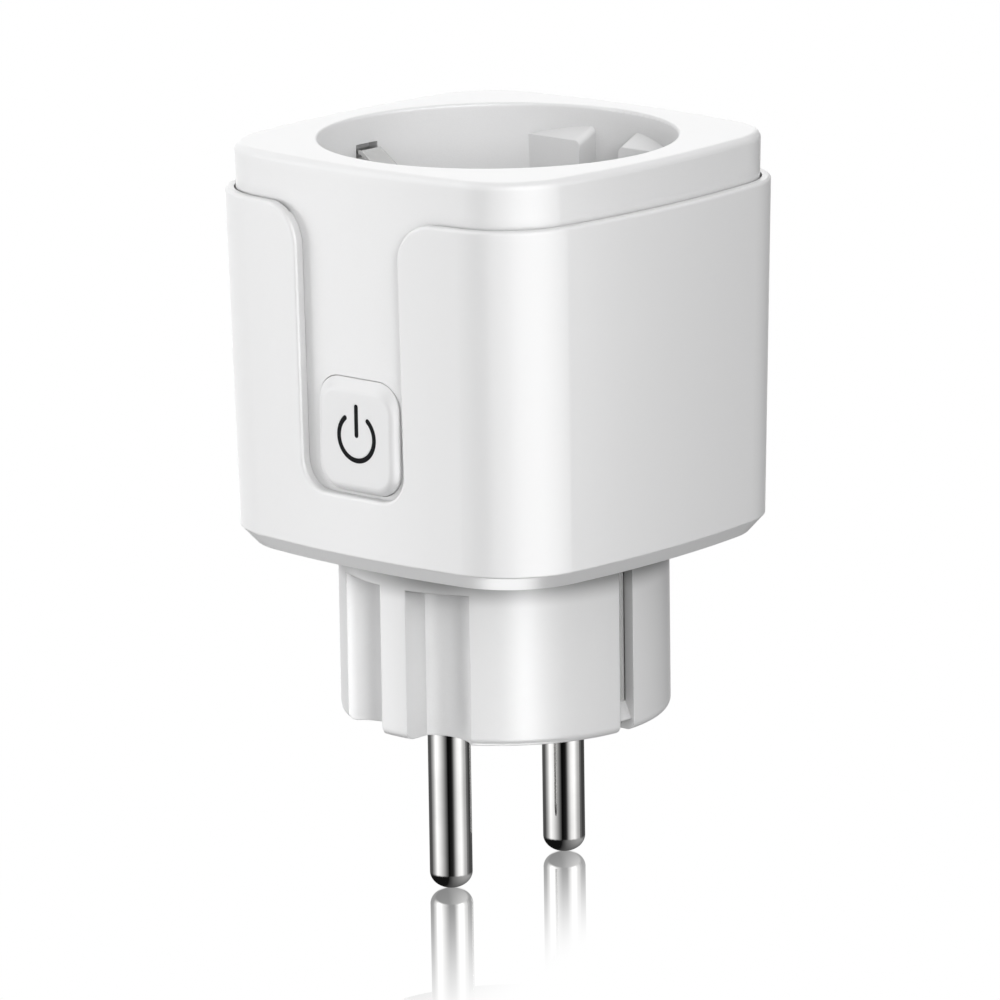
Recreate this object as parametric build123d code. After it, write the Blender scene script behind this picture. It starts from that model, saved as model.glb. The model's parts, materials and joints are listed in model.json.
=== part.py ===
from build123d import *
import math
import os

# Plug-through smart plug, European type. Millimetres.
# Frame: origin on the plug's front face, midway between the two line pins.
# +Z runs from the plug face through the body to the socket rim, the pins point down -Z.
# The push button is on the -Y side. The pins stand at +Y and -Y.

# ---------------------------------------------------------------- driving dimensions
PIN_PITCH = 19.0
PIN_R = 2.4
PIN_SHANK_R = 2.3      # the part of the pin inside the plug
PIN_LEN = 19.0
PIN_DOME = 1.9

W_BOT = 24.40          # sleeve half width at its lower edge
W_TOP = 25.10          # sleeve half width at its upper edge
R_SIDE = 110.6         # the sides bulge on this radius
R_CORNER = 9.75        # corner radius
Z_CHAMFER = 20.0       # underside of the base flange
Z_SLEEVE_BOT = 21.7
Z_SLEEVE_TOP = 59.6
Z_TOP = 64.65          # socket rim
SLEEVE_T = 1.0
PAD_T = 1.17           # sleeve thickness around the notch
STEP = 1.2             # from the sleeve's outside to the socket housing's outside
WALL = 1.5
CHAMFER_IN = 1.3       # how far the flange draws in below the sleeve

PLUG_R = 18.4
PLUG_FILLET = 1.0
CAVITY_R = 12.3
SCOOP_TOP = 17.0
RIB_HALF = 1.85
SCOOP_X = 9.15
SCOOP_Y_OUT = 15.96
SCOOP_Y_IN = 15.1
SCOOP_R = 5.1
STRIP_POCKET_HALF = 1.75   # pocket the earth strip lies in
SLOT_Y0, SLOT_Y1 = -1.6, 0.6   # open slot in front of the strip on the +X side
STRIP_FACE = 17.1
STRIP_T = 0.5
SILL_LO, SILL_HI = 1.3, 3.2
CLIP_SLOT_HALF = 1.75

RECESS_R = 19.8
RECESS_R_FLOOR = 19.55
Z_FLOOR = 47.0
FLOOR_T = 2.0
CUP_R = 21.7
HOLE_R = 2.75
INSERT_GAP = 0.015      # between the insert and the recess wall
FLANGE_R, FLANGE_T = 20.9, 1.1
Z_PLATE = Z_TOP - 1.65   # underside of the face plate
LUG_R = 0.7
LUG_Y = 16.75
LUG_GAP = 2.85
LUG_Z_IN = 61.15
LUG_SLOPE = 0.47
SLOT_TOP = 61.5
SLOT_DEPTH_R = 20.95

NOTCH_HALF = 7.4
NOTCH_BOT = 28.35
NOTCH_R_BOT = 3.3
NOTCH_R_TOP = 4.5

BTN_W, BTN_H, BTN_R = 11.7, 12.6, 3.0
BTN_X, BTN_Z = 0.45, 35.05
SYMBOL_X = 0.62
BTN_FRONT = -24.2
BTN_BASE = -23.5
BTN_INSET, BTN_INSET_TOP, BTN_INSET_LOW = 0.6, 1.35, 0.55
BTN_CLEAR = 0.06
BTN_TRAVEL = 0.4

SCREW_XY = 16.6
PCB_LO, PCB_HI = 24.6, 26.2

os.makedirs("parts", exist_ok=True)


def w_at(z):
    return W_BOT + (z - Z_SLEEVE_BOT) * (W_TOP - W_BOT) / (Z_SLEEVE_TOP - Z_SLEEVE_BOT)


def outline(w, z, off=0.0, rc=None):
    """Closed wire of a bulged square of half width w at height z, drawn in by off."""
    rb = R_SIDE - off
    w = w - off
    rc = (R_CORNER if rc is None else rc) - off
    k = rb - w
    b, c0 = 2 * k, k * k - (rb - rc) ** 2
    c = (-b + math.sqrt(b * b - 8 * c0)) / 4
    phi = math.atan2(c, c + k)

    def rot(x, y, n):
        for _ in range(n):
            x, y = y, -x
        return (x, y, z)

    edges = []
    for n in range(4):
        a0 = (-rb * math.sin(phi), -k + rb * math.cos(phi))
        a1 = (0, w)
        a2 = (rb * math.sin(phi), -k + rb * math.cos(phi))
        m = math.pi / 4
        b1 = (c + rc * math.sin(m), c + rc * math.cos(m))
        b2 = (c + rc * math.cos(phi), c + rc * math.sin(phi))
        edges.append(ThreePointArc(rot(*a0, n), rot(*a1, n), rot(*a2, n)))
        edges.append(ThreePointArc(rot(*a2, n), rot(*b1, n), rot(*b2, n)))
    return Wire(edges)


def body(z0, z1, off, w0=None, w1=None):
    """Drafted prism between two heights."""
    w0 = w_at(z0) if w0 is None else w0
    w1 = w_at(z1) if w1 is None else w1
    return Solid.make_loft([outline(w0, z0, off), outline(w1, z1, off)], ruled=True)


def cyl(r, z0, z1, x=0.0, y=0.0):
    return Pos(x, y, z0) * Cylinder(r, z1 - z0, align=(Align.CENTER, Align.CENTER, Align.MIN))


def cone(r0, r1, z0, z1, x=0.0, y=0.0):
    return Pos(x, y, z0) * Cone(r0, r1, z1 - z0, align=(Align.CENTER, Align.CENTER, Align.MIN))


def box(x0, x1, y0, y1, z0, z1):
    (x0, x1), (y0, y1), (z0, z1) = sorted((x0, x1)), sorted((y0, y1)), sorted((z0, z1))
    return Pos((x0 + x1) / 2, (y0 + y1) / 2, (z0 + z1) / 2) * Box(x1 - x0, y1 - y0, z1 - z0)


def prism_y(points, y0, y1):
    """Extrude a polygon given in x, z from y0 to y1."""
    face = Face(Wire.make_polygon([(x, y0, z) for x, z in points], close=True))
    return extrude(face, amount=y1 - y0, dir=(0, 1, 0))


def prism_x(points, x0, x1):
    """Extrude a polygon given in y, z from x0 to x1."""
    face = Face(Wire.make_polygon([(x0, y, z) for y, z in points], close=True))
    return extrude(face, amount=x1 - x0, dir=(1, 0, 0))


def rounded_y(w, h, r, zc, y0, y1, xc=0.0):
    """Rounded rectangle of width w and height h about (xc, zc), from y0 to y1."""
    sk = Plane.XZ * Pos(xc, zc) * RectangleRounded(w, h, r)
    return Pos(0, y0, 0) * extrude(sk, amount=-(y1 - y0))


def save(shape, name):
    solids = shape.solids()
    out = solids[0] if len(solids) == 1 else Compound(children=list(solids))
    export_step(out, f"parts/{name}.step")
    print(f"{name:26s} solids {len(solids)} volume {sum(s.volume for s in solids):9.1f}")
    return out


# ---------------------------------------------------------------- outer sleeve
# Decorative shell around the housing, open at both ends, with a U-shaped notch that
# runs from its upper edge down to the push button.
def make_sleeve():
    # the inside is thickened around the notch, so that its edge closes on the housing
    bore = Part(body(Z_SLEEVE_BOT - 1, Z_SLEEVE_TOP + 1, SLEEVE_T).wrapped)
    pad = box(-13.4, 13.4, -30, -20, NOTCH_BOT - 2.4, Z_SLEEVE_TOP - 1.0) - Part(body(Z_SLEEVE_BOT - 2, Z_SLEEVE_TOP + 2, PAD_T).wrapped)
    s = Part(body(Z_SLEEVE_BOT, Z_SLEEVE_TOP, 0).wrapped) - (bore - pad)
    core = rounded_y(2 * NOTCH_HALF, 60, NOTCH_R_BOT, NOTCH_BOT + 30, -30, -20)
    for sx in (1, -1):
        x0, x1 = sorted((sx * (NOTCH_HALF - 0.1), sx * (NOTCH_HALF + NOTCH_R_TOP)))
        flare = box(x0, x1, -30, -20, Z_SLEEVE_TOP - NOTCH_R_TOP, Z_SLEEVE_TOP + 1)
        post = Pos(sx * (NOTCH_HALF + NOTCH_R_TOP), -25, Z_SLEEVE_TOP - NOTCH_R_TOP) * Rot(90, 0, 0) * Cylinder(NOTCH_R_TOP, 14)
        core = core + (flare - post)
    s = s - core
    # round the outer arrises of the upper edge and the notch
    def outer_edge(e):
        c = e.position_at(0.5)
        if c.Z < Z_SLEEVE_BOT + 0.5:
            return False
        for t in (0.0, 0.25, 0.5, 0.75, 1.0):
            p = e.position_at(t)
            if not on_outline(p, 0.0):
                return False
        return True
    picked = [e for e in s.edges() if outer_edge(e)]
    return s, picked


def outline_gap(x, y, w):
    """Signed distance-like value of a point to the bulged square of half width w: 0 on it."""
    x, y = abs(x), abs(y)
    if x > y:
        x, y = y, x
    k = R_SIDE - w
    b, c0 = 2 * k, k * k - (R_SIDE - R_CORNER) ** 2
    c = (-b + math.sqrt(b * b - 8 * c0)) / 4
    phi = math.atan2(c, c + k)
    if math.atan2(x, y + k) <= phi:
        return math.hypot(x, y + k) - R_SIDE
    return math.hypot(x - c, y - c) - R_CORNER


def on_outline(p, off, tol=0.03):
    return abs(outline_gap(p.X, p.Y, w_at(p.Z)) + off) < tol


sleeve, rim_edges = make_sleeve()
try:
    sleeve = fillet(rim_edges, 0.35)
except Exception as err:
    print("sleeve fillet left out:", err)
save(sleeve, "outer_sleeve")

# ---------------------------------------------------------------- socket housing
# Upper shell: side walls, top face, the round wall of the recess and the screw posts.
def make_housing():
    h = Part(body(22.6, Z_TOP, STEP).wrapped)
    top_edges = [e for e in h.edges() if e.position_at(0.5).Z > Z_TOP - 0.01]
    h = fillet(top_edges, 0.8)
    # the hollow under the face plate, with the screw posts and their webs left out of the cut
    hollow = Part(body(22.0, Z_PLATE, STEP + WALL).wrapped)
    for sx in (1, -1):
        for sy in (1, -1):
            hollow = hollow - cyl(2.4, 26.6, Z_TOP, sx * SCREW_XY, sy * SCREW_XY)
            web = Pos(sx * 18.6, sy * 18.6, 45.3) * Rot(0, 0, 45 * sx * sy) * Box(5.6, 1.4, 37.4)
            hollow = hollow - web
    h = h - hollow
    slope = (RECESS_R - RECESS_R_FLOOR) / (Z_TOP - Z_FLOOR)
    recess = cone(RECESS_R_FLOOR, RECESS_R + slope, Z_FLOOR, Z_TOP + 1) + cyl(RECESS_R_FLOOR, Z_FLOOR - FLOOR_T - 2, Z_FLOOR + 0.01)
    h = h - recess
    rim = [e for e in h.edges() if e.geom_type == GeomType.CIRCLE and abs(e.position_at(0.5).Z - Z_TOP) < 1e-3 and abs(e.radius - RECESS_R) < 0.05]
    h = fillet(rim, 0.35)
    for sx in (1, -1):
        for sy in (1, -1):
            h = h - cyl(1.15, 26.0, 38.0, sx * SCREW_XY, sy * SCREW_XY)
    # opening for the push button
    h = h - rounded_y(BTN_W + 2 * BTN_CLEAR, BTN_H + 2 * BTN_CLEAR, BTN_R + BTN_CLEAR, BTN_Z, -27, -19, BTN_X)
    return h


housing = make_housing()
save(housing, "socket_housing")

# ---------------------------------------------------------------- socket cup
# Wall of the recess below the face plate, keyed between the four screw posts.
def make_cup():
    c = cyl(CUP_R, Z_FLOOR - FLOOR_T, Z_PLATE)
    c = c - (cone(RECESS_R_FLOOR, RECESS_R, Z_FLOOR, Z_TOP) + cyl(RECESS_R_FLOOR, Z_FLOOR - FLOOR_T - 2, Z_FLOOR + 0.01))
    for sx in (1, -1):
        for sy in (1, -1):
            c = c - cyl(2.4, 26.6, Z_TOP, sx * SCREW_XY, sy * SCREW_XY)
    # slots for the earth clips, open below so that the clips go in from underneath
    for sx in (1, -1):
        c = c - box(sx * 18.4, sx * SLOT_DEPTH_R, -CLIP_SLOT_HALF, CLIP_SLOT_HALF, Z_FLOOR - FLOOR_T - 2, SLOT_TOP)
    return c


save(make_cup(), "socket_cup")

# ---------------------------------------------------------------- guide lugs
# Four sloped blocks that stand on the recess floor and turn the plug that goes in the right way round.
def make_lugs():
    slope = (RECESS_R - RECESS_R_FLOOR) / (Z_TOP - Z_FLOOR)
    bound = cone(RECESS_R_FLOOR - INSERT_GAP - slope, RECESS_R - INSERT_GAP, Z_FLOOR - 1, Z_TOP)
    lugs = []
    for sy in (1, -1):
        for sx in (1, -1):
            p = prism_x([(sy * LUG_Y, Z_FLOOR), (sy * 21, Z_FLOOR), (sy * 21, LUG_Z_IN + (21 - LUG_Y) * LUG_SLOPE), (sy * LUG_Y, LUG_Z_IN)], *sorted((sx * LUG_GAP, sx * 12.5)))
            p = p & bound
            soft = [e for e in p.edges() if abs(abs(e.position_at(0.5).X) - LUG_GAP) < 1e-3 and e.position_at(0.5).Z > LUG_Z_IN and abs((e % 0.5).Y) > 0.8]
            lugs += fillet(soft, LUG_R).solids()
    return Compound(children=lugs)


save(make_lugs(), "socket_guide_lugs")

# ---------------------------------------------------------------- socket insert
# Floor of the recess with the pin holes; below it the shutter's guides and the bosses for the carrier.
def make_insert():
    zb = Z_FLOOR - FLOOR_T
    t = cyl(RECESS_R_FLOOR - INSERT_GAP, zb - 0.01, Z_FLOOR) + cyl(FLANGE_R, zb - FLANGE_T, zb)
    t = t - cyl(18.0, zb - FLANGE_T - 1, zb)
    for sy in (1, -1):
        t = t + cyl(2.1, 42.05, zb + 0.2, -7.2, sy * 9.5)
        t = t + box(-3.6, 11.8, sy * 12.75, sy * 13.75, 43.0, zb + 0.2)
    t = t + box(13.6, 14.8, -6.5, 6.5, 43.0, zb + 0.2)
    for sx in (1, -1):
        t = t + cyl(0.9, 42.8, zb + 0.2, sx * 12.35, 0)
    for sy in (1, -1):
        t = t - cyl(0.85, 42.0, 46.2, -7.2, sy * 9.5)
    # slots for the earth clips
    for sx in (1, -1):
        t = t - box(sx * 15.3, sx * 22, -CLIP_SLOT_HALF, CLIP_SLOT_HALF, zb - 3, Z_FLOOR + 0.5)
    # pin holes with a lead-in
    for sy in (1, -1):
        y = sy * PIN_PITCH / 2
        t = t - cyl(HOLE_R, zb - 1, Z_FLOOR + 1, 0, y)
        t = t - cone(HOLE_R, HOLE_R + 0.6, Z_FLOOR - 0.6, Z_FLOOR, 0, y)
    return t


save(make_insert(), "socket_insert")

# ---------------------------------------------------------------- plug base
# Lower shell: chamfered flange, plug spigot with guide scoops and earth channels, board supports.
def arc_scoop(sx, sy):
    """Cutter for one concave scoop beside the guide rib."""
    xa, ya = sx * RIB_HALF, sy * SCOOP_Y_IN
    xb, yb = sx * SCOOP_X, sy * SCOOP_Y_OUT
    mx, my = (xa + xb) / 2, (ya + yb) / 2
    dx, dy = xb - xa, yb - ya
    half = math.hypot(dx, dy) / 2
    sag = SCOOP_R - math.sqrt(SCOOP_R ** 2 - half ** 2)
    nx, ny = -dy, dx
    ln = math.hypot(nx, ny)
    nx, ny = nx / ln, ny / ln
    if nx * mx + ny * my > 0:
        nx, ny = -nx, -ny
    mid = (mx + nx * sag, my + ny * sag)
    out_y = sy * 22
    e1 = ThreePointArc((xa, ya, -1), (mid[0], mid[1], -1), (xb, yb, -1))
    e2 = Line((xb, yb, -1), (sx * (SCOOP_X + 2.2), out_y, -1))
    e3 = Line((sx * (SCOOP_X + 2.2), out_y, -1), (xa, out_y, -1))
    e4 = Line((xa, out_y, -1), (xa, ya, -1))
    return Part(Solid.extrude(Face(Wire([e1, e2, e3, e4])), Vector(0, 0, SCOOP_TOP + 1)).wrapped)


def make_base():
    flange = Part(Solid.make_loft([outline(W_BOT - CHAMFER_IN, Z_CHAMFER), outline(W_BOT, Z_SLEEVE_BOT)], ruled=True).wrapped)
    upper = Part(body(Z_SLEEVE_BOT, 22.6, SLEEVE_T + 0.12).wrapped)
    spigot = cyl(PLUG_R, 0, Z_CHAMFER)
    foot = [e for e in spigot.edges() if e.geom_type == GeomType.CIRCLE and abs(e.position_at(0.5).Z) < 1e-6]
    spigot = fillet(foot, PLUG_FILLET)
    for sx in (1, -1):
        for sy in (1, -1):
            spigot = spigot - arc_scoop(sx, sy)
    b = flange + upper + spigot
    # rim that locates the socket housing, 25.4 high
    rim_off = STEP + WALL + 0.12
    rim = Part(body(22.6, 25.4, rim_off).wrapped) - Part(body(22.0, 26.0, rim_off + 1.3).wrapped)
    b = b + rim
    # screw bosses, countersunk from below
    for sx in (1, -1):
        for sy in (1, -1):
            x, y = sx * SCREW_XY, sy * SCREW_XY
            b = b + cyl(3.0, 22.0, 26.4, x, y)
            b = b - cyl(1.6, 19.0, 27.0, x, y)
            b = b - cyl(2.8, 19.0, 22.3, x, y)
    # board supports
    for x, y, r in ((6.5, 17.2, 2.2), (-6.5, 17.2, 2.2), (8.0, -18.3, 1.2), (-8.0, -18.3, 1.2), (18.0, 3.2, 1.2), (-18.0, 5.0, 1.2)):
        b = b + cyl(r, 22.0, PCB_LO, x, y)
    for x in (6.5, -6.5):
        b = b - cyl(0.85, 20.9, 27.0, x, 17.2)
    # cavity, pin bores, and the pocket of the earth tube
    b = b - cyl(CAVITY_R, 3.0, 27.0)
    for sx in (1, -1):
        b = b + cyl(1.7, 2.5, 4.6, sx * 4.6, 0)
        b = b - cyl(0.85, 1.0, 5.0, sx * 4.6, 0)
    b = b - cyl(3.6, 3.0, 27.0, -10.0, 0)
    b = b - cyl(2.7, -1, 2, -10.0, 0)
    b = b - cyl(3.02, 1.2, 4, -10.0, 0)
    for sy in (1, -1):
        b = b - cyl(PIN_SHANK_R + 0.02, -1, 4, 0, sy * PIN_PITCH / 2)
        b = b - cyl(PIN_R + 0.05, -1, 0.3, 0, sy * PIN_PITCH / 2)
    # earth slots on both sides, with a sloping sill at the foot
    for sx in (1, -1):
        xf = STRIP_FACE - STRIP_T
        x0, x1 = sorted((sx * xf, sx * (STRIP_FACE + 0.05)))
        b = b - box(x0, x1, -STRIP_POCKET_HALF, STRIP_POCKET_HALF, SILL_HI, 23.5)
        y0, y1 = sorted((sx * SLOT_Y0, sx * SLOT_Y1))
        b = b - prism_y([(sx * STRIP_FACE, Z_CHAMFER), (sx * STRIP_FACE, SILL_HI), (sx * 18.0, SILL_LO), (sx * 20, SILL_LO), (sx * 20, Z_CHAMFER)], y0, y1)
        # relief below the sill, open at the plug face
        b = b - prism_y([(sx * 14.6, -1), (sx * 20, -1), (sx * 20, SILL_LO), (sx * 17.4, SILL_LO), (sx * 14.6, 0.2)], y0, y1)
    return b


base = make_base()
save(base, "plug_base")

# ---------------------------------------------------------------- line pins
# Turned brass pins with a domed tip, a collar that seats on the spigot's floor, and a solder tail.
def make_pin(y):
    prof = [(0, -PIN_LEN)]
    a = EllipticalCenterArc((0, -PIN_LEN + PIN_DOME), PIN_R, PIN_DOME, 270, arc_size=90)
    pts = [(PIN_R, -PIN_LEN + PIN_DOME), (PIN_R, 0), (PIN_SHANK_R, 0), (PIN_SHANK_R, 3.0), (2.75, 3.0), (2.75, 4.6), (PIN_SHANK_R, 4.6), (PIN_SHANK_R, 7.5), (1.5, 8.5), (1.5, 27.0), (0, 27.0), (0, -PIN_LEN)]
    line = Polyline(*pts)
    face = make_face([a, line])
    rev = revolve(Plane.XZ * face, Axis.Z, 360)
    return Pos(0, y, 0) * rev


save(make_pin(-PIN_PITCH / 2), "live_pin")
save(make_pin(PIN_PITCH / 2), "neutral_pin")

# ---------------------------------------------------------------- earth parts of the plug
xi, xo = STRIP_FACE - STRIP_T, STRIP_FACE
strap = box(-xo, xo, -1.65, 1.65, 22.6, 23.1)
for sx in (1, -1):
    x0, x1 = sorted((sx * xi, sx * xo))
    strap = strap + box(x0, x1, -1.65, 1.65, SILL_HI + 0.0, 23.1)
bend = [e for e in strap.edges() if abs(abs(e.position_at(0.5).X) - xo) < 1e-3 and abs(e.position_at(0.5).Z - 23.1) < 1e-3 and e.length > 3]
strap = fillet(bend, 0.45)
save(strap, "plug_earth_strap")

tube = cyl(3.0, 1.2, 22.6, -10.0, 0) - cyl(2.5, 0, 23.0, -10.0, 0)
tube = tube - box(-14, -11, -0.4, 0.4, 6.0, 16.0)
save(tube, "earth_pin_sleeve")

# ---------------------------------------------------------------- earth parts of the socket
# Two spring clips that press on the side contacts of the plug in the socket, on one cross bar.
def make_clip(sx):
    t = 0.5
    path = [(20.62, 42.8), (20.62, 59.9), (20.05, 60.7), (19.1, 60.7), (16.35, 58.75), (15.75, 57.4), (15.75, 54.6), (16.6, 51.4), (18.3, 48.6)]
    left, right = [], []
    n = len(path)
    for i, (x, z) in enumerate(path):
        def unit(a, b):
            d = (b[0] - a[0], b[1] - a[1])
            ln = math.hypot(*d)
            return (d[0] / ln, d[1] / ln)
        if i == 0:
            d = unit(path[0], path[1])
            nx, nz, k = -d[1], d[0], 1.0
        elif i == n - 1:
            d = unit(path[-2], path[-1])
            nx, nz, k = -d[1], d[0], 1.0
        else:
            d0, d1 = unit(path[i - 1], path[i]), unit(path[i], path[i + 1])
            nx, nz = -(d0[1] + d1[1]), d0[0] + d1[0]
            ln = math.hypot(nx, nz)
            nx, nz = nx / ln, nz / ln
            k = 1.0 / max(0.4, (nx * -d0[1] + nz * d0[0]))
        left.append((x + nx * k * t / 2, z + nz * k * t / 2))
        right.append((x - nx * k * t / 2, z - nz * k * t / 2))
    poly = left + right[::-1]
    return prism_y([(sx * x, z) for x, z in poly], -1.6, 1.6)


clips = [make_clip(1), make_clip(-1)]
clips = Compound(children=[c.solids()[0] for c in clips])
save(clips, "socket_earth_clips")
bar = box(-20.9, 20.9, -1.6, 1.6, 42.2, 42.8)
save(bar, "socket_earth_bar")

# ---------------------------------------------------------------- line contacts of the socket
def make_contact(sy):
    y = sy * PIN_PITCH / 2
    c = cyl(2.95, 30.0, 41.6, 0, y) - cyl(2.42, 29, 43, 0, y)
    c = c - box(-4, 0, y - 0.5, y + 0.5, 32.5, 43)
    c = c - box(-0.5, 0.5, y + 0.5 * sy, y + 4 * sy, 34, 43)
    c = c + (box(2.45, 3.05, y - 1.5, y + 1.5, 24.2, 34.0) - cyl(2.42, 20, 43, 0, y))
    return c


save(make_contact(-1), "live_socket_contact")
save(make_contact(1), "neutral_socket_contact")

# ---------------------------------------------------------------- contact carrier
carrier = box(-4.2, 4.2, -13.6, 13.6, 40.0, 42.0)
for sy in (1, -1):
    y = sy * PIN_PITCH / 2
    carrier = carrier + box(-4.2, 4.2, y - 4.0, y + 4.0, 29.5, 42.85)
    carrier = carrier + box(-9.5, -4.0, y - 2.6, y + 2.6, 40.0, 42.0)
for sy in (1, -1):
    y = sy * PIN_PITCH / 2
    carrier = carrier - cyl(3.12, 28, 44, 0, y)
    carrier = carrier - box(2.2, 3.25, y - 1.7, y + 1.7, 28, 34.3)
    carrier = carrier - cyl(1.15, 39, 43, -7.2, y)
save(carrier, "contact_carrier")

# ---------------------------------------------------------------- safety shutter
# Slides towards +X when both plug pins press on its ramps at once.
shutter = box(3.1, 5.3, -12.6, 12.6, 43.0, 44.85)
for sy in (1, -1):
    y0, y1 = sorted((sy * 6.4, sy * 12.6))
    shutter = shutter + prism_y([(-3.1, 43.0), (3.1, 43.0), (3.1, 44.85), (2.2, 44.85), (-3.1, 43.5)], y0, y1)
for sy in (1, -1):
    shutter = shutter + Pos(5.3, sy * 4.5, 43.92) * Rot(0, 90, 0) * Cylinder(0.6, 2.0, align=(Align.CENTER, Align.CENTER, Align.MIN))
save(shutter, "safety_shutter")


def spring(x0, x1, y, z, r, wire, turns):
    pitch = (x1 - x0 - wire) / turns
    h = Helix(pitch=pitch, height=x1 - x0 - wire, radius=r)
    start = Plane(origin=h @ 0, z_dir=h % 0)
    s = sweep(start * Circle(wire / 2), path=h)
    return Pos(x0 + wire / 2, y, z) * Rot(0, 90, 0) * s


sp = [spring(5.32, 13.58, sy * 4.5, 43.92, 0.85, 0.22, 8) for sy in (1, -1)]
save(Compound(children=[s.solids()[0] for s in sp]), "shutter_springs")

# ---------------------------------------------------------------- push button
def make_button():
    cap = rounded_y(BTN_W, BTN_H, BTN_R, BTN_Z, BTN_BASE, -21.0, BTN_X)
    f0 = Plane.XZ * Pos(BTN_X, BTN_Z) * RectangleRounded(BTN_W, BTN_H, BTN_R)
    f1 = Plane.XZ * Pos(BTN_X, BTN_Z + (BTN_INSET_LOW - BTN_INSET_TOP) / 2) * RectangleRounded(BTN_W - 2 * BTN_INSET, BTN_H - BTN_INSET_TOP - BTN_INSET_LOW, BTN_R - 0.5)
    crown = Solid.make_loft([(Pos(0, BTN_BASE, 0) * f0).faces()[0].outer_wire(), (Pos(0, BTN_FRONT, 0) * f1).faces()[0].outer_wire()], ruled=True)
    cap = cap + Part(crown.wrapped)
    front = [e for e in cap.edges() if abs(e.position_at(0.5).Y - BTN_FRONT) < 1e-4]
    cap = fillet(front, 0.9)
    cap = cap + rounded_y(14.4, 14.4, 3.2, BTN_Z, -21.4, -20.7)
    cap = cap - rounded_y(9.5, 10.4, 1.8, BTN_Z, -22.3, -20.0, BTN_X)
    cap = cap + Pos(0, -22.5, BTN_Z) * Rot(-90, 0, 0) * Cylinder(1.8, 2.3, align=(Align.CENTER, Align.CENTER, Align.MIN))
    return cap


def make_symbol():
    """Standard on/off symbol: a broken ring with a stem, inlaid in the button's face."""
    zc = BTN_Z - 0.05
    r, w, gap = 2.58, 0.56, 40
    d = 0.25
    y0 = BTN_FRONT
    ring = Pos(SYMBOL_X, y0, zc) * Rot(-90, 0, 0) * (Cylinder(r + w / 2, d, align=(Align.CENTER, Align.CENTER, Align.MIN)) - Cylinder(r - w / 2, d, align=(Align.CENTER, Align.CENTER, Align.MIN)))
    t = math.tan(math.radians(gap))
    wedge = prism_y([(SYMBOL_X, zc), (SYMBOL_X + 4 * t, zc + 4), (SYMBOL_X - 4 * t, zc + 4)], y0 - 1, y0 + 1)
    ring = ring - wedge
    for s in (1, -1):
        a = math.radians(gap)
        ring = ring + Pos(SYMBOL_X + s * r * math.sin(a), y0, zc + r * math.cos(a)) * Rot(-90, 0, 0) * Cylinder(w / 2, d, align=(Align.CENTER, Align.CENTER, Align.MIN))
    stem = rounded_y(w, 3.7, w / 2 - 0.001, zc + 1.8, y0, y0 + d, SYMBOL_X)
    return ring, stem


button = make_button()
ring, stem = make_symbol()
button = button - ring - stem
save(button, "button_cap")
save(Compound(children=[ring.solids()[0], stem.solids()[0]]), "button_symbol")

# ---------------------------------------------------------------- boards and parts on them
pcb = Part(Solid.extrude(Face(outline(20.0, PCB_LO, 0, rc=6.0)), Vector(0, 0, PCB_HI - PCB_LO)).wrapped)
for sx in (1, -1):
    for sy in (1, -1):
        pcb = pcb - cyl(3.4, 24, 27, sx * SCREW_XY, sy * SCREW_XY)
        pcb = pcb - box(*sorted((sx * SCREW_XY, sx * 24)), *sorted((sy * SCREW_XY, sy * 24)), 24, 27)
for sy in (1, -1):
    y = sy * PIN_PITCH / 2
    pcb = pcb - cyl(1.7, 24, 27, 0, y)
    pcb = pcb - box(2.3, 3.2, y - 1.65, y + 1.65, 24, 27)
for x in (6.5, -6.5):
    pcb = pcb - cyl(1.2, 24, 27, x, 17.2)
for y in (-2.5, 2.5):
    pcb = pcb - cyl(0.45, 24, 27, 6.5, y)
pcb = pcb - box(-22, -14.9, -1.8, 1.8, 24, 27)
for y in (-11, -7.5, 7.5, 11):
    pcb = pcb - box(13.9, 14.9, y - 0.4, y + 0.4, 24, 27)
save(pcb, "main_board")

relay = box(9.4, 19.4, -13, 13, PCB_HI + 0.3, 38.0)
relay = fillet([e for e in relay.edges() if e.position_at(0.5).Z > PCB_HI + 1], 0.5)
relay = relay - box(11.0, 17.8, -8.0, 8.0, 37.85, 39)
save(relay, "relay")
pins = []
for y in (-11, -7.5, 7.5, 11):
    pins.append(box(14.0, 14.8, y - 0.3, y + 0.3, 23.8, PCB_HI + 0.3))
save(Compound(children=[p.solids()[0] for p in pins]), "relay_terminals")

cap = box(-18.5, -6.0, 6.4, 12.6, PCB_HI, 37.2)
cap = fillet([e for e in cap.edges() if e.position_at(0.5).Z > PCB_HI + 1], 0.6)
save(cap, "suppression_capacitor")

can = cyl(3.8, PCB_HI, 37.6, -10.2, 0.6)
can = fillet([e for e in can.edges() if e.geom_type == GeomType.CIRCLE], 0.5)
groove = Pos(-10.2, 0.6, 27.6) * Torus(4.05, 0.45)
can = can - groove
save(can, "electrolytic_capacitor")

TX, TY = -12.9, -9.0
core = box(-18.6, -7.2, TY - 2.5, TY + 2.5, 27.4, 29.1) + box(-18.6, -7.2, TY - 2.5, TY + 2.5, 34.7, 36.4)
core = core + box(-18.6, -17.2, TY - 2.5, TY + 2.5, 29.0, 34.8) + box(-8.6, -7.2, TY - 2.5, TY + 2.5, 29.0, 34.8)
core = core + cyl(1.7, 29.0, 34.8, TX, TY)
save(core, "transformer_core")
wind = cyl(4.1, 29.2, 29.8, TX, TY) + cyl(3.8, 29.7, 34.1, TX, TY) + cyl(4.1, 34.0, 34.6, TX, TY)
wind = wind - cyl(1.75, 29, 35, TX, TY)
save(wind, "transformer_winding")
feet = []
for x in (-17.2, -8.6):
    feet.append(box(x - 1.2, x + 1.2, TY - 3.4, TY + 3.4, PCB_HI, 27.4))
save(Compound(children=[f.solids()[0] for f in feet]), "transformer_feet")

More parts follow.
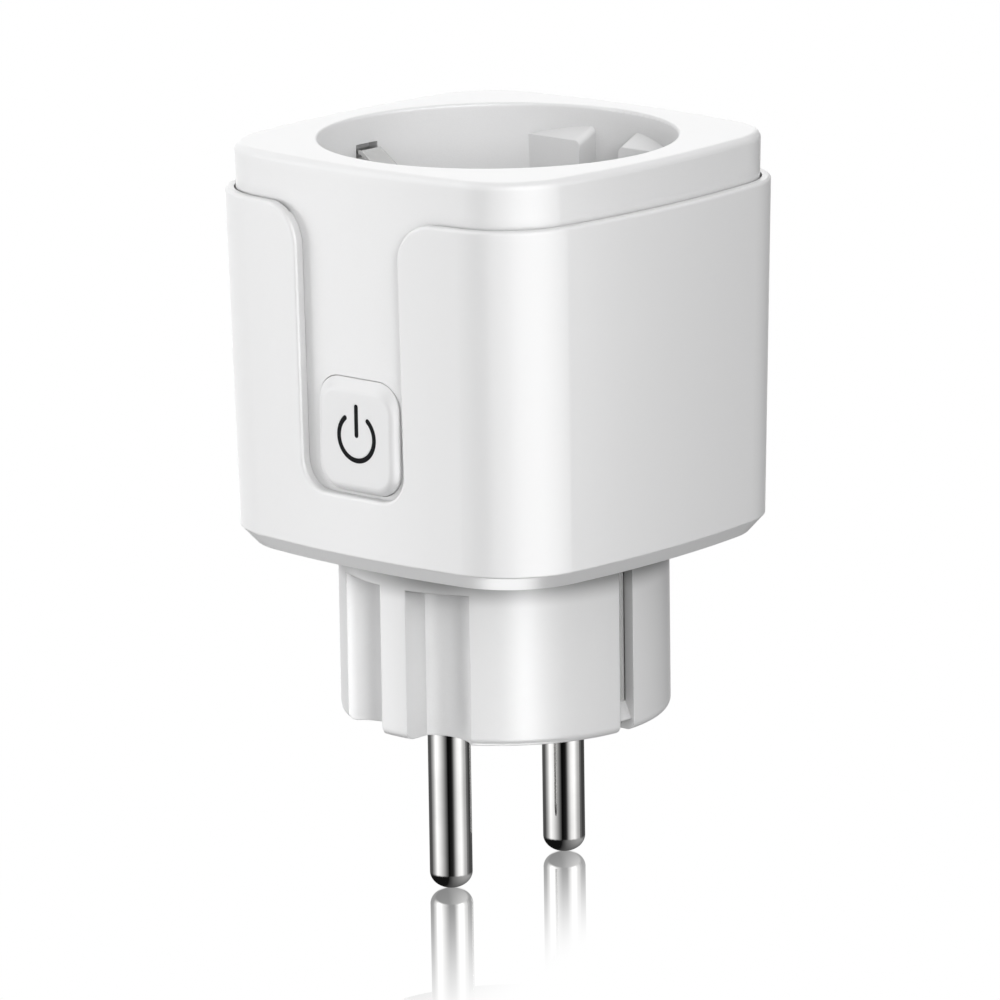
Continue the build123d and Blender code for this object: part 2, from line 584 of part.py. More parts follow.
mov = Pos(5.4, 0, 31.4) * Rot(0, 90, 0) * Cylinder(3.9, 2.2, align=(Align.CENTER, Align.CENTER, Align.MIN))
mov = fillet([e for e in mov.edges() if e.geom_type == GeomType.CIRCLE], 0.6)
for y in (-2.5, 2.5):
    mov = mov + cyl(0.3, 24.9, 29.5, 6.5, y)
save(mov, "varistor")

fz = Pos(-1.2, 0, 29.0) * Rot(90, 0, 0) * Cylinder(1.35, 7.0)
fz = fillet([e for e in fz.edges() if e.geom_type == GeomType.CIRCLE], 0.25)
save(fz, "fuse_body")
caps = []
for sy in (1, -1):
    y0, y1 = sorted((sy * 3.5, sy * 4.9))
    c = Pos(-1.2, (y0 + y1) / 2, 29.0) * Rot(90, 0, 0) * Cylinder(1.45, y1 - y0)
    c = c + box(-1.5, -0.9, y0 + 0.5, y1 - 0.5, PCB_HI, 29.0)
    caps.append(c)
save(Compound(children=[c.solids()[0] for c in caps]), "fuse_end_caps")

# ---------------------------------------------------------------- control board behind the button
board = box(-13, 13, -16.0, -14.4, PCB_HI, 43.6)
board = board - box(-14, -12.2, -17, -14, 41.4, 44) - box(12.2, 14, -17, -14, 41.4, 44)
save(board, "control_board")

sw = box(-3, 3, -19.4, -16.0, BTN_Z - 3, BTN_Z + 3)
sw = fillet([e for e in sw.edges() if abs((e % 0.5).Y) > 0.9], 0.3)
sw = sw - Pos(0, -20, BTN_Z) * Rot(-90, 0, 0) * Cylinder(1.75, 2.6, align=(Align.CENTER, Align.CENTER, Align.MIN))
save(sw, "tact_switch_body")
pl = Pos(0, -20.2, BTN_Z) * Rot(-90, 0, 0) * Cylinder(1.68, 2.3, align=(Align.CENTER, Align.CENTER, Align.MIN))
pl = fillet([e for e in pl.edges() if abs(e.position_at(0.5).Y + 20.2) < 1e-3], 0.2)
save(pl, "tact_switch_plunger")

can = box(-12.6, -3.8, -18.3, -16.0, 27.4, 41.0)
can = fillet([e for e in can.edges() if abs(e.position_at(0.5).Y + 16.0) > 0.1], 0.35)
can = can - box(-12.3, -4.1, -18.05, -15.9, 27.7, 40.7)
save(can, "wireless_shield_can")
mod = box(-12.2, -4.2, -16.8, -16.0, 27.8, 40.6)
save(mod, "wireless_module")
chip = box(5.0, 10.0, -17.0, -16.0, 29.0, 34.0)
chip = fillet([e for e in chip.edges() if abs((e % 0.5).Y) > 0.9], 0.3)
save(chip, "metering_chip")
led = box(6.3, 8.3, -16.9, -16.0, 37.0, 38.4)
led = led + Pos(7.3, -16.9, 37.7) * Sphere(0.55)
save(led, "indicator_led")

# ---------------------------------------------------------------- earth wire
wire = cyl(0.9, 23.1, 42.2, -16.0, 0)
save(wire, "earth_wire")

# ---------------------------------------------------------------- clamp over the pin collars
plate = cyl(11.9, 4.6, 6.6) & box(-6.2, 6.2, -13, 13, 4, 7)
for sy in (1, -1):
    plate = plate - cyl(PIN_SHANK_R + 0.03, 4, 7, 0, sy * PIN_PITCH / 2)
for sx in (1, -1):
    plate = plate - cyl(1.1, 4, 7, sx * 4.6, 0)
save(plate, "pin_clamp_plate")


def screw(x, y, z_head, z_tip, r_shank, r_head, h_head, up=True, flat=False):
    """Pan head screw with a cross recess; z_head is the underside of the head."""
    s = 1 if up else -1
    z0, z1 = sorted((z_head, z_tip))
    body_ = cyl(r_shank, z0, z1, x, y)
    h0, h1 = sorted((z_head, z_head - s * h_head))
    head = cyl(r_head, h0, h1, x, y)
    outer = z_head - s * h_head
    rim_ = [e for e in head.edges() if e.geom_type == GeomType.CIRCLE and abs(e.position_at(0.5).Z - outer) < 1e-4]
    head = fillet(rim_, min(0.4, h_head * 0.45))
    k = r_head * 0.52
    d0, d1 = sorted((outer - s * 0.2, outer + s * h_head * 0.55))
    head = head - box(x - k, x + k, y - 0.22, y + 0.22, d0, d1) - box(x - 0.22, x + 0.22, y - k, y + k, d0, d1)
    tip = [e for e in body_.edges() if e.geom_type == GeomType.CIRCLE and abs(e.position_at(0.5).Z - z_tip) < 1e-4]
    body_ = chamfer(tip, r_shank * 0.45)
    return (body_ + head).solids()[0]


save(Compound(children=[screw(sx * SCREW_XY, sy * SCREW_XY, 22.3, 36.0, 1.12, 2.4, 1.5) for sx in (1, -1) for sy in (1, -1)]), "case_screws")
save(Compound(children=[screw(sx * 4.6, 0, 6.6, 1.6, 0.82, 1.6, 1.1, up=False) for sx in (1, -1)]), "clamp_screws")
save(Compound(children=[screw(sx * 6.5, 17.2, PCB_HI, 21.4, 0.82, 1.9, 1.2, up=False) for sx in (1, -1)]), "board_screws")
save(Compound(children=[screw(-7.2, sy * 9.5, 40.0, 45.8, 0.82, 1.7, 1.1) for sy in (1, -1)]), "carrier_screws")
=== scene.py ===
import json
import math

import bpy
import numpy as np
from mathutils import Matrix, Vector


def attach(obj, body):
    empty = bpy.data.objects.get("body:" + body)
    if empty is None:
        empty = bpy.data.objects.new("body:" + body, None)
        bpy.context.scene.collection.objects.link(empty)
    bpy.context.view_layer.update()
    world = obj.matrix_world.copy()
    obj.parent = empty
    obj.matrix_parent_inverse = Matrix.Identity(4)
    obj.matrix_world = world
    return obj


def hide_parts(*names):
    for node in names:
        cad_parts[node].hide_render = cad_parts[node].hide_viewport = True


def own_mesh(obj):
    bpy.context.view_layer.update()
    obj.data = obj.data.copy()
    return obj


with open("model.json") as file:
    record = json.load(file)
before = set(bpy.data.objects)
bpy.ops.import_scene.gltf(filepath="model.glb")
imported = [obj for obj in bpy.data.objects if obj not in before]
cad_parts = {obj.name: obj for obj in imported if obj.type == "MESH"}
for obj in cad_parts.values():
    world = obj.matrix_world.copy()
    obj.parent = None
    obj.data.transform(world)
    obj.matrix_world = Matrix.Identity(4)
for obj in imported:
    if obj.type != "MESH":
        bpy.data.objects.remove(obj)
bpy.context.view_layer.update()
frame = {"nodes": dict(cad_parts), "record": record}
NODES = frame["nodes"]
scene = bpy.context.scene
scene.view_settings.view_transform = "Standard"
scene.view_settings.look = "None"
scene.view_settings.exposure = 0.0
scene.view_settings.gamma = 1.0

MM = 0.001
FLOOR_Z = -19.0 * MM


# ---------------------------------------------------------------- node helpers
class Graph:
    def __init__(self, tree):
        self.tree = tree
        self.n = tree.nodes
        self.l = tree.links
        self.n.clear()

    def add(self, kind, **props):
        node = self.n.new(kind)
        ins = props.pop("inputs", {})
        for k, v in props.items():
            setattr(node, k, v)
        for k, v in ins.items():
            if isinstance(v, bpy.types.NodeSocket):
                self.l.new(v, node.inputs[k])
            else:
                node.inputs[k].default_value = v
        return node

    def math(self, op, a, b=0.0, c=0.0, clamp=False):
        node = self.n.new("ShaderNodeMath")
        node.operation = op
        node.use_clamp = clamp
        for i, v in enumerate((a, b, c)):
            if i >= len(node.inputs):
                break
            if isinstance(v, bpy.types.NodeSocket):
                self.l.new(v, node.inputs[i])
            else:
                node.inputs[i].default_value = v
        return node.outputs[0]

    def ramp(self, fac, stops, interp="LINEAR"):
        node = self.n.new("ShaderNodeValToRGB")
        cr = node.color_ramp
        cr.interpolation = interp
        while len(cr.elements) < len(stops):
            cr.elements.new(0.5)
        for el, (p, c) in zip(cr.elements, stops):
            el.position = p
            el.color = (c, c, c, 1) if isinstance(c, (int, float)) else (*c, 1)
        if isinstance(fac, bpy.types.NodeSocket):
            self.l.new(fac, node.inputs[0])
        else:
            node.inputs[0].default_value = fac
        return node.outputs[0]

    def mix(self, fac, a, b):
        node = self.n.new("ShaderNodeMix")
        node.data_type = "RGBA"
        for key, v in ((0, fac), (6, a), (7, b)):
            if isinstance(v, bpy.types.NodeSocket):
                self.l.new(v, node.inputs[key])
            else:
                node.inputs[key].default_value = v if key == 0 else (*v, 1)
        return node.outputs[2]


def noise(g, vec, scale, detail=2.0, rough=0.5):
    return g.add("ShaderNodeTexNoise", inputs={"Vector": vec, "Scale": scale, "Detail": detail, "Roughness": rough}).outputs["Fac"]


def coords(g, stretch=(1, 1, 1)):
    tc = g.add("ShaderNodeTexCoord")
    mp = g.add("ShaderNodeMapping", inputs={"Vector": tc.outputs["Object"], "Scale": stretch})
    return mp.outputs[0]


def edge_mask(g, radius, low=0.002, high=0.06):
    """1 on sharp convex and concave edges within radius, 0 on open faces."""
    geo = g.add("ShaderNodeNewGeometry")
    bev = g.add("ShaderNodeBevel", samples=4, inputs={"Radius": radius})
    dot = g.add("ShaderNodeVectorMath", operation="DOT_PRODUCT", inputs={0: bev.outputs[0], 1: geo.outputs["Normal"]}).outputs["Value"]
    gap = g.math("SUBTRACT", 1.0, dot)
    mr = g.add("ShaderNodeMapRange", inputs={"Value": gap, "From Min": low, "From Max": high})
    return mr.outputs[0]


def material(name):
    m = bpy.data.materials.new(name)
    m.use_nodes = True
    g = Graph(m.node_tree)
    out = g.add("ShaderNodeOutputMaterial")
    return m, g, out


def plastic(name, color, rough=0.3, grain=0.02, grain_scale=2600.0, coat=0.0, sss=0.0, vary=0.015, wear=0.0, ior=1.46, soft=0.00018, spec=0.5, ao=0.0, reach=0.014, ripple=0.16, flush=False, painted_shadow_heights=None):
    """Moulded plastic: fine tooling texture, patchy gloss, faint colour drift, edges a little polished; optionally
    painted shade from ambient occlusion and a painted shadow band under an overhang.
    """
    m, g, out = material(name)
    v = coords(g)
    fine = noise(g, v, grain_scale, 3.0, 0.6)
    flow = noise(g, v, 90.0, 4.0, 0.55)
    cloud = noise(g, v, 22.0, 3.0, 0.5)
    drift = g.add("ShaderNodeMapRange", inputs={"Value": cloud, "From Min": 0.3, "From Max": 0.7, "To Min": 1.0 - vary, "To Max": 1.0 + vary * 0.4}).outputs[0]
    base = g.add("ShaderNodeVectorMath", operation="SCALE", inputs={0: color, "Scale": drift}).outputs[0]
    edge = edge_mask(g, 0.00035)
    if ao:
        # painted shade: the base colour darkens towards a quarter of itself where ambient occlusion finds geometry
        # within reach, in recesses, gaps and creases
        occ = g.add("ShaderNodeAmbientOcclusion", samples=4, inputs={"Distance": reach}).outputs["AO"]
        base = g.mix(g.math("MULTIPLY", g.math("SUBTRACT", 1.0, occ), ao, clamp=True), base, tuple(c * 0.25 for c in color))
    if painted_shadow_heights:
        # painted shadow: the base colour darkens close under an overhang, between two heights, standing in for the
        # contact shadow there
        h = g.add("ShaderNodeSeparateXYZ", inputs={0: g.add("ShaderNodeTexCoord").outputs["Object"]}).outputs[2]
        shadow_band = g.add("ShaderNodeMapRange", interpolation_type="SMOOTHSTEP", inputs={"Value": h, "From Min": painted_shadow_heights[0], "From Max": painted_shadow_heights[1]}).outputs[0]
        shadow_band = g.math("MULTIPLY", shadow_band, g.math("LESS_THAN", h, painted_shadow_heights[2]))
        base = g.mix(g.math("MULTIPLY", shadow_band, 0.72), base, tuple(c * 0.22 for c in color))
    if wear:
        base = g.mix(g.math("MULTIPLY", edge, wear), base, tuple(min(1.0, c * 1.6 + 0.12) for c in color))
    r = g.math("ADD", g.math("MULTIPLY", g.math("SUBTRACT", flow, 0.5), ripple), rough)
    r = g.math("SUBTRACT", r, g.math("MULTIPLY", edge, 0.015), clamp=True)
    bump = g.add("ShaderNodeBump", inputs={"Strength": grain, "Distance": 0.00004, "Height": fine})
    bev = g.add("ShaderNodeBevel", samples=4, inputs={"Radius": soft})
    if flush:
        # the recess wall is two mouldings that meet flush, so its joint isn't rounded
        geo = g.add("ShaderNodeNewGeometry")
        sp = g.add("ShaderNodeSeparateXYZ", inputs={0: g.add("ShaderNodeTexCoord").outputs["Object"]})
        rad = g.math("SQRT", g.math("ADD", g.math("MULTIPLY", sp.outputs[0], sp.outputs[0]), g.math("MULTIPLY", sp.outputs[1], sp.outputs[1])))
        wall = g.math("MULTIPLY", g.math("LESS_THAN", rad, 0.01984), g.math("LESS_THAN", sp.outputs[2], 0.0641))
        wall = g.math("MULTIPLY", wall, g.math("GREATER_THAN", rad, 0.0194))
        pick = g.add("ShaderNodeMix", data_type="VECTOR")
        g.l.new(wall, pick.inputs[0])
        g.l.new(bev.outputs[0], pick.inputs[4])
        g.l.new(geo.outputs["Normal"], pick.inputs[5])
        g.l.new(pick.outputs[1], bump.inputs["Normal"])
    else:
        g.l.new(bev.outputs[0], bump.inputs["Normal"])
    b = g.add("ShaderNodeBsdfPrincipled", inputs={"Base Color": base, "Roughness": r, "IOR": ior, "Normal": bump.outputs[0], "Specular IOR Level": spec})
    if coat:
        b.inputs["Coat Weight"].default_value = coat
        b.inputs["Coat Roughness"].default_value = 0.12
    if sss:
        b.inputs["Subsurface Weight"].default_value = sss
        b.inputs["Subsurface Radius"].default_value = (1.0, 0.95, 0.9)
        b.inputs["Subsurface Scale"].default_value = 0.0012
    g.l.new(b.outputs[0], out.inputs[0])
    return m


def metal(name, color, rough=0.12, stretch=(1, 1, 1), scratch=0.02, scale=900.0, edge_light=0.12, tarnish=0.05, soft=0.00008):
    """Plated or bare metal: drawn lines along one direction, patchy gloss, brighter rubbed edges."""
    m, g, out = material(name)
    v = coords(g, stretch)
    v0 = coords(g)
    lines = noise(g, v, scale, 3.0, 0.65)
    patch = noise(g, v0, 160.0, 4.0, 0.6)
    edge = edge_mask(g, 0.00025)
    dark = tuple(c * (1.0 - tarnish * 2.5) for c in color)
    base = g.mix(g.add("ShaderNodeMapRange", inputs={"Value": patch, "From Min": 0.35, "From Max": 0.7}).outputs[0], color, dark)
    base = g.mix(g.math("MULTIPLY", edge, edge_light * 4.0, clamp=True), base, tuple(min(1.0, c * 1.15 + 0.04) for c in color))
    r = g.math("ADD", g.math("MULTIPLY", g.math("SUBTRACT", lines, 0.5), rough * 0.9), rough)
    r = g.math("ADD", r, g.math("MULTIPLY", g.math("SUBTRACT", patch, 0.5), rough * 0.7), clamp=True)
    bump = g.add("ShaderNodeBump", inputs={"Strength": scratch, "Distance": 0.00003, "Height": lines})
    bev = g.add("ShaderNodeBevel", samples=4, inputs={"Radius": soft})
    g.l.new(bev.outputs[0], bump.inputs["Normal"])
    b = g.add("ShaderNodeBsdfPrincipled", inputs={"Base Color": base, "Roughness": r, "Metallic": 1.0, "Normal": bump.outputs[0]})
    g.l.new(b.outputs[0], out.inputs[0])
    return m


def board(name, color):
    """Solder mask over fibreglass: woven relief, darker and lighter track-like patches."""
    m, g, out = material(name)
    v = coords(g)
    w1 = g.add("ShaderNodeTexWave", wave_type="BANDS", bands_direction="X", inputs={"Vector": v, "Scale": 900.0, "Distortion": 1.5})
    w2 = g.add("ShaderNodeTexWave", wave_type="BANDS", bands_direction="Y", inputs={"Vector": v, "Scale": 900.0, "Distortion": 1.5})
    weave = g.math("MULTIPLY", w1.outputs["Fac"], w2.outputs["Fac"])
    cells = g.add("ShaderNodeTexVoronoi", feature="F1", distance="MANHATTAN", inputs={"Vector": v, "Scale": 260.0}).outputs["Distance"]
    tracks = g.ramp(cells, [(0.0, 0.0), (0.45, 0.0), (0.5, 1.0), (1.0, 1.0)])
    base = g.mix(tracks, color, tuple(min(1, c * 1.7 + 0.01) for c in color))
    base = g.mix(g.math("MULTIPLY", weave, 0.25), base, tuple(c * 0.6 for c in color))
    hgt = g.math("ADD", g.math("MULTIPLY", weave, 0.4), tracks)
    bump = g.add("ShaderNodeBump", inputs={"Strength": 0.15, "Distance": 0.00004, "Height": hgt})
    b = g.add("ShaderNodeBsdfPrincipled", inputs={"Base Color": base, "Roughness": 0.35, "Normal": bump.outputs[0]})
    g.l.new(b.outputs[0], out.inputs[0])
    return m


def print_ink(name, color):
    m, g, out = material(name)
    v = coords(g)
    fine = noise(g, v, 5200.0, 3.0, 0.6)
    soft = noise(g, v, 700.0, 3.0, 0.6)
    base = g.mix(g.math("MULTIPLY", soft, 0.3), color, tuple(c * 2.2 + 0.006 for c in color))
    bump = g.add("ShaderNodeBump", inputs={"Strength": 0.08, "Distance": 0.00003, "Height": fine})
    b = g.add("ShaderNodeBsdfPrincipled", inputs={"Base Color": base, "Roughness": g.math("ADD", g.math("MULTIPLY", fine, 0.12), 0.45), "Normal": bump.outputs[0], "Specular IOR Level": 0.12})
    g.l.new(b.outputs[0], out.inputs[0])
    return m


def clear_resin(name):
    m, g, out = material(name)
    v = coords(g)
    bump = g.add("ShaderNodeBump", inputs={"Strength": 0.05, "Distance": 0.00004, "Height": noise(g, v, 1500.0, 3.0)})
    b = g.add("ShaderNodeBsdfPrincipled", inputs={"Base Color": (0.85, 0.92, 1.0, 1), "Roughness": g.math("ADD", 0.08, g.math("MULTIPLY", noise(g, v, 900.0), 0.08)), "Transmission Weight": 0.8, "IOR": 1.5, "Normal": bump.outputs[0]})
    g.l.new(b.outputs[0], out.inputs[0])
    return m


def ferrite(name):
    m, g, out = material(name)
    v = coords(g)
    sp = noise(g, v, 2400.0, 4.0, 0.7)
    base = g.ramp(sp, [(0.3, (0.03, 0.03, 0.032)), (0.6, (0.075, 0.075, 0.078)), (0.72, (0.16, 0.16, 0.165))])
    bump = g.add("ShaderNodeBump", inputs={"Strength": 0.2, "Distance": 0.00004, "Height": sp})
    b = g.add("ShaderNodeBsdfPrincipled", inputs={"Base Color": base, "Roughness": 0.55, "Normal": bump.outputs[0]})
    g.l.new(b.outputs[0], out.inputs[0])
    return m


def tape(name, color):
    m, g, out = material(name)
    v = coords(g)
    bands = g.add("ShaderNodeTexWave", wave_type="BANDS", bands_direction="Z", inputs={"Vector": v, "Scale": 420.0, "Distortion": 2.0, "Detail": 2.0}).outputs["Fac"]
    base = g.mix(g.math("MULTIPLY", bands, 0.35), color, tuple(c * 0.6 for c in color))
    bump = g.add("ShaderNodeBump", inputs={"Strength": 0.25, "Distance": 0.00006, "Height": bands})
    b = g.add("ShaderNodeBsdfPrincipled", inputs={"Base Color": base, "Roughness": 0.3, "Coat Weight": 0.4, "Normal": bump.outputs[0]})
    g.l.new(b.outputs[0], out.inputs[0])
    return m


MATS = {
    # case_white carries painted shade: ambient occlusion darkens its base colour in recesses and gaps
    "case_white": plastic("case_white", (0.86, 0.86, 0.862), rough=0.315, grain=0.03, vary=0.003, ao=0.55, ripple=0.03, flush=True),
    # base_white: the same white plastic with stronger painted shade from ambient occlusion and a painted shadow band
    # just under the flange
    "base_white": plastic("base_white", (0.86, 0.86, 0.862), rough=0.315, grain=0.03, vary=0.003, ao=0.8, reach=0.0028, ripple=0.03, painted_shadow_heights=(0.0155, 0.0186, 0.01995)),
    "button_white": plastic("button_white", (0.80, 0.80, 0.803), rough=0.31, grain=0.02, vary=0.003, ripple=0.03),
    "symbol_black": print_ink("symbol_black", (0.008, 0.008, 0.009)),
    "pin_nickel": metal("pin_nickel", (0.86, 0.855, 0.845), rough=0.026, stretch=(1, 1, 0.03), scratch=0.01, scale=1400.0),
    "earth_steel": metal("earth_steel", (0.72, 0.72, 0.715), rough=0.16, stretch=(1, 1, 0.08), scratch=0.1),
    "contact_brass": metal("contact_brass", (0.72, 0.52, 0.22), rough=0.22, stretch=(1, 1, 0.1), scratch=0.12, tarnish=0.1),
    "carrier_black": plastic("carrier_black", (0.028, 0.028, 0.03), rough=0.5, grain=0.12, grain_scale=1800.0, vary=0.15, wear=0.12),
    "shutter_white": plastic("shutter_white", (0.72, 0.72, 0.71), rough=0.24, grain=0.03, sss=0.08, vary=0.02),
    "spring_steel": metal("spring_steel", (0.55, 0.55, 0.56), rough=0.2, scratch=0.08),
    "board_green": board("board_green", (0.02, 0.13, 0.055)),
    "relay_black": plastic("relay_black", (0.022, 0.022, 0.025), rough=0.42, grain=0.1, grain_scale=2000.0, vary=0.1, wear=0.1),
    "tin": metal("tin", (0.68, 0.68, 0.665), rough=0.24, scratch=0.1, tarnish=0.12),
    "capacitor_yellow": plastic("capacitor_yellow", (0.72, 0.5, 0.05), rough=0.35, grain=0.06, vary=0.06, wear=0.1),
    "capacitor_dark": plastic("capacitor_dark", (0.02, 0.028, 0.06), rough=0.3, grain=0.05, vary=0.1),
    "ferrite": ferrite("ferrite"),
    "winding_tape": tape("winding_tape", (0.7, 0.5, 0.06)),
    "varistor_blue": plastic("varistor_blue", (0.03, 0.09, 0.4), rough=0.25, grain=0.1, grain_scale=500.0, vary=0.08, coat=0.3),
    "fuse_ceramic": plastic("fuse_ceramic", (0.66, 0.63, 0.55), rough=0.4, grain=0.1, vary=0.05),
    "led_clear": clear_resin("led_clear"),
    "wire_green": plastic("wire_green", (0.04, 0.26, 0.03), rough=0.45, grain=0.08, grain_scale=1200.0, vary=0.08),
    "screw_steel": metal("screw_steel", (0.56, 0.57, 0.58), rough=0.22, scratch=0.15, tarnish=0.15),
}

SLOT = {p["node"]: p["material_slot"] for p in frame["record"]["subparts"]}
# the plug base gets its own copy of the white plastic, base_white, with painted shade in its grooves and a painted
# shadow under its flange
OWN = {"plug_base": "base_white"}
for name, obj in NODES.items():
    obj.data.materials.clear()
    obj.data.materials.append(MATS[OWN.get(name, SLOT[name])])

# the shutter's two springs are drawn as a copy that rides with the case, and the original part is hidden
coils = bpy.data.objects.new("shutter_spring_coils", NODES["shutter_springs"].data.copy())
scene.collection.objects.link(coils)
coils.matrix_world = NODES["shutter_springs"].matrix_world.copy()
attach(coils, "case")
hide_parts("shutter_springs")
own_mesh(coils)


# ---------------------------------------------------------------- floor
def make_floor():
    me = bpy.data.meshes.new("floor")
    r, n = 1.6, 96
    verts = [(r * math.cos(2 * math.pi * i / n), r * math.sin(2 * math.pi * i / n), FLOOR_Z) for i in range(n)]
    me.from_pydata(verts, [], [list(range(n))])
    ob = bpy.data.objects.new("floor", me)
    scene.collection.objects.link(ob)
    m, g, out = material("floor_white")
    geo = g.add("ShaderNodeNewGeometry")
    sep = g.add("ShaderNodeSeparateXYZ", inputs={0: geo.outputs["Position"]})
    fx, fy = sep.outputs[0], sep.outputs[1]
    dist = g.math("SQRT", g.math("ADD", g.math("MULTIPLY", fx, fx), g.math("MULTIPLY", fy, fy)))
    # the finish of the table turns matt towards the front, a little sooner on the right
    ahead = g.math("ADD", g.math("MULTIPLY", fx, 0.669), g.math("MULTIPLY", fy, -0.743))
    across = g.math("ADD", g.math("MULTIPLY", fx, 0.743), g.math("MULTIPLY", fy, 0.669))
    reach = g.math("DIVIDE", g.math("ADD", g.math("ADD", ahead, 0.00475), g.math("MULTIPLY", across, 1.108)), g.math("SUBTRACT", 0.05825, g.math("MULTIPLY", across, 1.33)))
    fade = g.add("ShaderNodeMapRange", interpolation_type="SMOOTHSTEP", inputs={"Value": reach, "From Min": 0.0, "From Max": 0.95, "To Min": 0.77, "To Max": 0.0}).outputs[0]
    rim = g.add("ShaderNodeMapRange", interpolation_type="SMOOTHSTEP", inputs={"Value": dist, "From Min": 0.045, "From Max": 0.066, "To Min": 1.0, "To Max": 0.0}).outputs[0]
    fade = g.math("MULTIPLY", fade, rim)
    # the table only mirrors at a glancing angle
    face = g.add("ShaderNodeLayerWeight", inputs={"Blend": 0.5}).outputs["Facing"]
    fade = g.math("MULTIPLY", fade, g.add("ShaderNodeMapRange", inputs={"Value": face, "From Min": 0.45, "From Max": 0.68}).outputs[0])
    gloss = g.add("ShaderNodeBsdfGlossy", inputs={"Color": (1.16, 1.16, 1.16, 1), "Roughness": 0.0})
    white = g.add("ShaderNodeEmission", inputs={"Color": (1, 1, 1, 1), "Strength": 1.0})
    mix = g.add("ShaderNodeMixShader", inputs={0: fade})
    g.l.new(white.outputs[0], mix.inputs[1])
    g.l.new(gloss.outputs[0], mix.inputs[2])
    # one-sided: from underneath the table isn't there
    clear = g.add("ShaderNodeBsdfTransparent")
    side = g.add("ShaderNodeMixShader", inputs={0: geo.outputs["Backfacing"]})
    g.l.new(mix.outputs[0], side.inputs[1])
    g.l.new(clear.outputs[0], side.inputs[2])
    g.l.new(side.outputs[0], out.inputs[0])
    me.materials.append(m)
    ob.visible_diffuse = False
    ob.visible_glossy = False
    ob.visible_transmission = False
    ob.visible_shadow = False
    return ob


make_floor()


# ---------------------------------------------------------------- light
def make_world():
    w = bpy.data.worlds.new("studio")
    scene.world = w
    w.use_nodes = True
    g = Graph(w.node_tree)
    out = g.add("ShaderNodeOutputWorld")
    tc = g.add("ShaderNodeTexCoord")
    d = g.add("ShaderNodeVectorMath", operation="NORMALIZE", inputs={0: tc.outputs["Generated"]}).outputs[0]
    sep = g.add("ShaderNodeSeparateXYZ", inputs={0: d})
    # soft fill: even round the sides, brighter above, dim below
    left = g.add("ShaderNodeVectorMath", operation="DOT_PRODUCT", inputs={0: d, 1: (-0.743, -0.669, 0.0)}).outputs["Value"]
    z = sep.outputs[2]
    fill = g.math("ADD", g.math("MULTIPLY", g.math("MAXIMUM", z, 0.0), 0.61), 0.335)
    # what shiny parts see: boxes round the set, a dark gap at the lens, dim below, white behind
    az = g.math("ARCTAN2", sep.outputs[0], g.math("MULTIPLY", sep.outputs[1], -1.0))
    rel = g.math("SUBTRACT", az, math.radians(42.0))
    rel = g.math("WRAP", rel, math.pi, -math.pi)
    u = g.add("ShaderNodeMapRange", inputs={"Value": rel, "From Min": -math.pi, "From Max": math.pi}).outputs[0]

    def p(deg):
        return (deg + 180.0) / 360.0

    strips = g.ramp(u, [
        (p(-180), 0.86), (p(-168), 0.86), (p(-160), 0.10), (p(-120), 0.10), (p(-97), 0.58), (p(-77), 1.46), (p(-58), 1.10),
        (p(-39), 0.60), (p(-24), 0.22), (p(-11), 0.0), (p(9), 0.0), (p(16), 0.06), (p(26), 0.5), (p(41), 1.14), (p(60), 1.36),
        (p(77), 0.70), (p(97), 0.26), (p(117), 0.02), (p(160), 0.06), (p(168), 0.86), (p(180), 0.86)], "LINEAR")
    up = g.add("ShaderNodeMapRange", inputs={"Value": sep.outputs[2], "From Min": 0.45, "From Max": 0.75}).outputs[0]
    low = g.add("ShaderNodeMapRange", inputs={"Value": sep.outputs[2], "From Min": -0.25, "From Max": -0.45}).outputs[0]
    shiny = g.mix(up, strips, (0.95, 0.95, 0.95))
    under = g.add("ShaderNodeMapRange", inputs={"Value": left, "From Min": 0.2, "From Max": -0.85, "To Min": 0.008, "To Max": 0.4}).outputs[0]
    shiny = g.mix(low, shiny, under)
    lp = g.add("ShaderNodeLightPath")
    # straight off the table the set is plain white all round
    shiny = g.mix(lp.outputs["Is Singular Ray"], shiny, (0.862, 0.862, 0.862))
    col = g.mix(lp.outputs["Is Glossy Ray"], fill, shiny)
    col = g.mix(lp.outputs["Is Camera Ray"], col, (1.0, 1.0, 1.0))
    bg = g.add("ShaderNodeBackground", inputs={"Color": col, "Strength": 1.0})
    g.l.new(bg.outputs[0], out.inputs[0])


make_world()


def area(name, loc, aim, size, power, only=None, diffuse=True):
    li = bpy.data.lights.new(name, "AREA")
    li.shape = "RECTANGLE"
    li.size, li.size_y = size
    li.energy = power
    ob = bpy.data.objects.new(name, li)
    scene.collection.objects.link(ob)
    ob.location = loc
    ob.rotation_euler = (Vector(aim) - Vector(loc)).to_track_quat("-Z", "Y").to_euler()
    ob.visible_diffuse = diffuse
    if only:
        ob.light_linking.receiver_collection = only
    return ob


def around(az, el, dist, z=0.03):
    """A place az degrees round to the right of the lens, at a height of el degrees."""
    a, e = math.radians(42.0 + az), math.radians(el)
    return (math.sin(a) * math.cos(e) * dist, -math.cos(a) * math.cos(e) * dist, z + math.sin(e) * dist)


# two low soft boxes for the matt shading only: far left, and in front
key = area("left_box", around(-100, 0, 0.8), (0, 0, 0.03), (0.4, 0.16), 3.45)
key.visible_glossy = False
front = area("front_box", around(15, 17, 0.8), (0, 0, 0.03), (0.25, 0.25), 1.95)
front.visible_glossy = False

shell = bpy.data.collections.new("shell")
for n in ("outer_sleeve", "socket_housing", "socket_insert", "socket_cup", "socket_guide_lugs", "button_cap"):
    if n in NODES:
        shell.objects.link(NODES[n])
spigot = bpy.data.collections.new("spigot")
spigot.objects.link(NODES["plug_base"])

